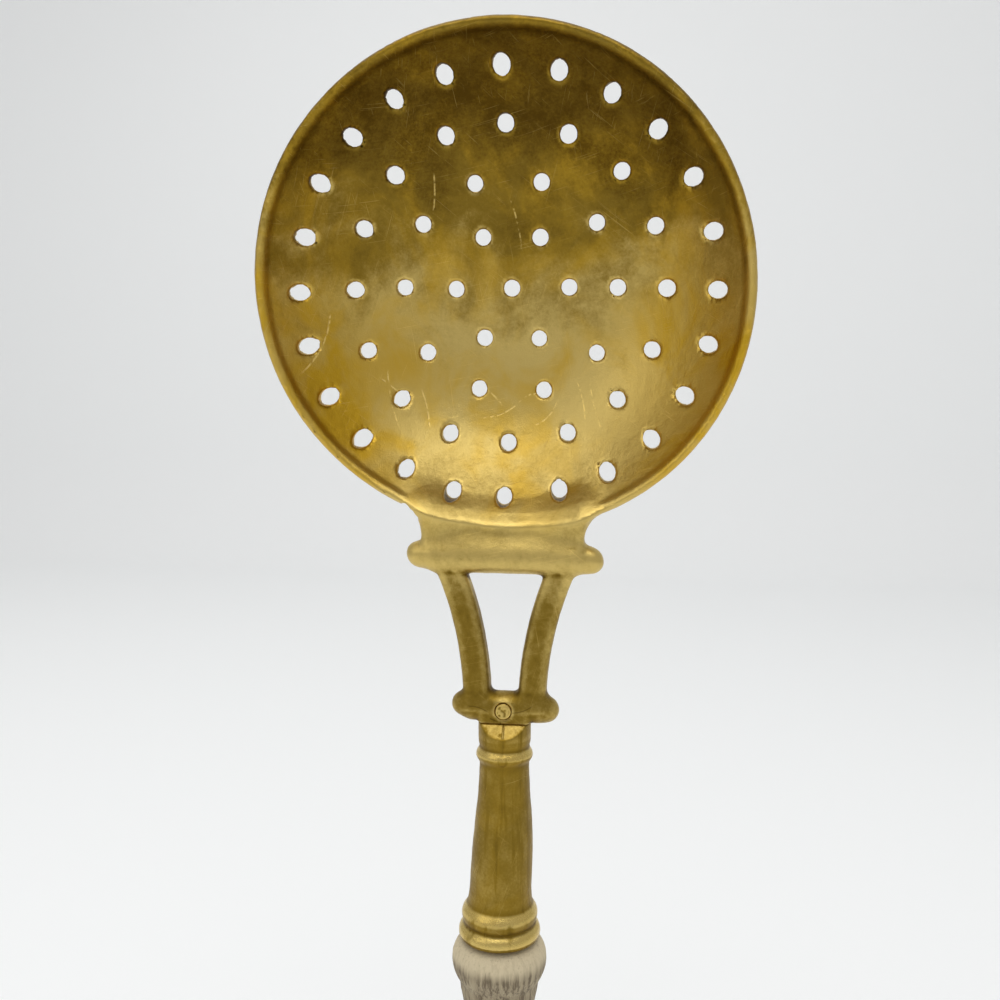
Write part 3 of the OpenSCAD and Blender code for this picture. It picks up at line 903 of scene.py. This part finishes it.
class SKIMMER_OT_end_fittings(bpy.types.Operator):
    """Build the end cap and the eye nut, and finish the tie rod"""

    bl_idname = "skimmer.end_fittings"
    bl_label = "End fittings"

    def execute(self, context):
        scene = context.scene
        material = brass("fitting_brass", scene.skimmer_colours, 0.36, golden=0.4)
        heights, radii = profile(CAP_STATIONS, 0.12, 0.16)

        def relief(r, t, z):
            p = np.stack([r * np.cos(t), r * np.sin(t), z], -1).reshape(-1, 3)
            return r + (0.03 * lumps(p, 3, 51) - 0.03).reshape(r.shape)

        bore = [(-112.4, 6.85), (-117.4, 6.85), (-117.4, 2.05), (-121.4, 2.05)]
        points, faces = turned(heights, radii, bore, 192, relief)
        smooth = np.convolve(np.pad(radii, 6, mode="edge"), np.ones(13) / 13, mode="valid") - radii
        soil_and_shade, wear_and_highlight = np.zeros(len(points)), np.zeros(len(points))
        soil_and_shade[: len(heights) * 192] = np.repeat(np.clip(smooth * 6, 0, 1), 192)
        wear_and_highlight[: len(heights) * 192] = np.repeat(np.clip(-smooth * 6, 0, 1), 192)
        place(
            "End_cap", points, faces, material, "skimmer",
            ["end_cap"], {"soil_and_shade": soil_and_shade, "wear_and_highlight": wear_and_highlight},
        )

        def eye(p):
            up = p[:, 2]
            shank = common(np.hypot(p[:, 0], p[:, 1]) - 4.15, np.abs(up + 124.9) - 3.45, 0.6)
            disc = common(np.hypot(p[:, 1], up + 133.0) - 5.4, np.abs(p[:, 0]) - 1.7, 0.7)
            whole = union(shank, disc, 1.4)
            whole = cut(whole, np.hypot(p[:, 1], up + 133.0) - 2.2, 0.35)
            return whole + 0.03 * lumps(p, 2.0, 52) + 0.02

        lines = [axis_steps((-4.8, 4.8, 0.22)), axis_steps((-6, 6, 0.22)), axis_steps((-139, -121, 0.22))]
        points, faces = skinned(eye, lines)
        soil_and_shade, wear_and_highlight = bends(eye, points, 0.4)
        place(
            "Eye_nut", points, faces, material, "skimmer",
            ["eye_nut"], {"soil_and_shade": soil_and_shade * 0.5, "wear_and_highlight": wear_and_highlight * 0.5},
        )
        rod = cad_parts["tie_rod"]
        rod.data.materials.clear()
        rod.data.materials.append(plain_steel("steel", scene.skimmer_colours))
        return {"FINISHED"}


class SKIMMER_OT_ring(bpy.types.Operator):
    """Build the loose hanging ring"""

    bl_idname = "skimmer.ring"
    bl_label = "Hanging ring"

    def execute(self, context):
        scene = context.scene
        sizes = scene.skimmer_sizes
        wire, radius = sizes.wire / MM, sizes.ring / MM
        middle = -133.55 - radius
        around, section = 320, 40
        a, b = np.meshgrid(
            np.linspace(0, 2 * math.pi, around, endpoint=False),
            np.linspace(0, 2 * math.pi, section, endpoint=False),
            indexing="ij",
        )
        joint = np.exp(-(((a - 4.712) / 0.02) ** 2))
        thick = wire * (1 - 0.012 * np.abs(np.cos(3 * a))) - 0.10 * joint
        out = radius + thick * np.cos(b)
        points = np.stack([out * np.cos(a), thick * np.sin(b), middle + out * np.sin(a)], -1).reshape(-1, 3)
        index = np.arange(around * section).reshape(around, section)
        ahead = np.roll(index, -1, 0)
        faces = np.stack([index, np.roll(index, -1, 1), np.roll(ahead, -1, 1), ahead], -1).reshape(-1, 4)
        soil_and_shade = (joint * 0.9).reshape(-1)
        wear_and_highlight = np.clip(-np.cos(b) * 0.6, 0, 1).reshape(-1)
        material = brass("ring_brass", scene.skimmer_colours, 0.24, golden=0.3)
        place(
            "Hanging_ring", points, faces, material, "ring",
            ["hanging_ring"], {"soil_and_shade": soil_and_shade, "wear_and_highlight": wear_and_highlight},
        )
        return {"FINISHED"}


# Stage

CAMERA_PLACE = (0.031, -0.262, 0.2054)
CAMERA_PITCH, CAMERA_YAW, CAMERA_ROLL = math.radians(-5.2), math.radians(6.9), math.radians(0.4)


def add_camera():
    data = bpy.data.cameras.new("Camera")
    data.lens, data.sensor_width = 36.0, 36.0
    data.clip_start, data.clip_end = 0.01, 20.0
    camera = bpy.data.objects.new("Camera", data)
    bpy.context.scene.collection.objects.link(camera)
    forward = Vector((
        -math.sin(CAMERA_YAW) * math.cos(CAMERA_PITCH),
        math.cos(CAMERA_YAW) * math.cos(CAMERA_PITCH),
        math.sin(CAMERA_PITCH),
    ))
    level = Vector((math.cos(CAMERA_YAW), math.sin(CAMERA_YAW), 0))
    raised = level.cross(forward)
    right = level * math.cos(CAMERA_ROLL) + raised * math.sin(CAMERA_ROLL)
    up = raised * math.cos(CAMERA_ROLL) - level * math.sin(CAMERA_ROLL)
    turn = Matrix((right, up, -forward)).transposed().to_4x4()
    camera.matrix_world = Matrix.Translation(CAMERA_PLACE) @ turn
    bpy.context.scene.camera = camera


def add_lamp(name, place_at, aim, size, power):
    data = bpy.data.lights.new(name, "AREA")
    data.shape, data.size, data.energy = "DISK", size, power
    lamp = bpy.data.objects.new(name, data)
    bpy.context.scene.collection.objects.link(lamp)
    lamp.location = place_at
    lamp.rotation_euler = (Vector(aim) - Vector(place_at)).to_track_quat("-Z", "Y").to_euler()


def add_sweep(colours):
    """A floor that curves up into a backdrop behind it, with a soft bend."""
    floor_z, flat, bend, high = -0.102, 1.55, 0.22, 3.2
    profile_points = [(0.0, floor_z)]
    profile_points += [(flat * k / 6, floor_z) for k in range(1, 7)]
    steps = 14
    for k in range(1, steps + 1):
        angle = math.pi / 2 * k / steps
        profile_points.append((flat + bend * math.sin(angle), floor_z + bend * (1 - math.cos(angle))))
    profile_points.append((flat + bend, high))
    across = 5.0
    points, faces = [], []
    stations = [(-flat * 2.2, floor_z)] + profile_points
    for y, z in stations:
        points += [(-across, y, z), (across, y, z)]
    for k in range(len(stations) - 1):
        faces.append((2 * k, 2 * k + 1, 2 * k + 3, 2 * k + 2))
    mesh = bpy.data.meshes.new("Sweep")
    mesh.from_pydata(points, [], faces)
    for polygon in mesh.polygons:
        polygon.use_smooth = True
    sweep = bpy.data.objects.new("Sweep", mesh)
    bpy.context.scene.collection.objects.link(sweep)
    material, sheet = new_material("sweep")
    shader = sheet.node(
        "ShaderNodeBsdfDiffuse", {}, {"Color": (*colours.floor, 1.0), "Roughness": 0.0}
    )
    finish_sheet(sheet, shader)
    mesh.materials.append(material)


class SKIMMER_OT_stage(bpy.types.Operator):
    """Set the floor, the lights and the camera"""

    bl_idname = "skimmer.stage"
    bl_label = "Stage"

    def execute(self, context):
        scene = context.scene
        scene.view_settings.view_transform = "Standard"
        add_camera()
        add_sweep(scene.skimmer_colours)
        add_lamp("Overhead", (0.0, -0.25, 1.5), (0, 0.1, 0.2), 1.6, 11)
        add_lamp("Front_left", (-1.1, -1.0, 0.9), (0, 0, 0.2), 0.9, 1.6)
        add_lamp("Back_fill", (-0.5, 0.9, 1.3), (-0.2, 0.9, 0.0), 0.9, 1.2)
        world = bpy.data.worlds.new("Studio")
        scene.world = world
        world.use_nodes = True
        sheet = Sheet(world.node_tree)
        background = sheet.node(
            "ShaderNodeBackground", {}, {"Color": (0.64, 0.64, 0.64, 1.0), "Strength": 0.91}
        )
        output = world.node_tree.nodes.new("ShaderNodeOutputWorld")
        world.node_tree.links.new(background.socket, output.inputs["Surface"])
        return {"FINISHED"}


class SKIMMER_PT_panel(bpy.types.Panel):
    """Buttons for each piece of the skimmer"""

    bl_idname = "SKIMMER_PT_panel"
    bl_label = "Kitchen Skimmer"
    bl_space_type = "VIEW_3D"
    bl_region_type = "UI"
    bl_category = "Skimmer"

    def draw(self, context):
        for operator in OPERATORS:
            self.layout.operator(operator.bl_idname)
        for group in (context.scene.skimmer_sizes, context.scene.skimmer_colours):
            column = self.layout.column(align=True)
            for key in group.__annotations__:
                column.prop(group, key)


OPERATORS = (
    SKIMMER_OT_stage,
    SKIMMER_OT_casting,
    SKIMMER_OT_pin,
    SKIMMER_OT_ferrule,
    SKIMMER_OT_grip,
    SKIMMER_OT_end_fittings,
    SKIMMER_OT_ring,
)
CLASSES = (SkimmerSizes, SkimmerColours, *OPERATORS, SKIMMER_PT_panel)


def register():
    for each in CLASSES:
        bpy.utils.register_class(each)
    bpy.types.Scene.skimmer_sizes = bpy.props.PointerProperty(type=SkimmerSizes)
    bpy.types.Scene.skimmer_colours = bpy.props.PointerProperty(type=SkimmerColours)


def unregister():
    del bpy.types.Scene.skimmer_sizes
    del bpy.types.Scene.skimmer_colours
    for each in reversed(CLASSES):
        bpy.utils.unregister_class(each)


def main():
    register()
    for operator in OPERATORS:
        group, name = operator.bl_idname.split(".")
        getattr(getattr(bpy.ops, group), name)()


if __name__ == "__main__":
    main()
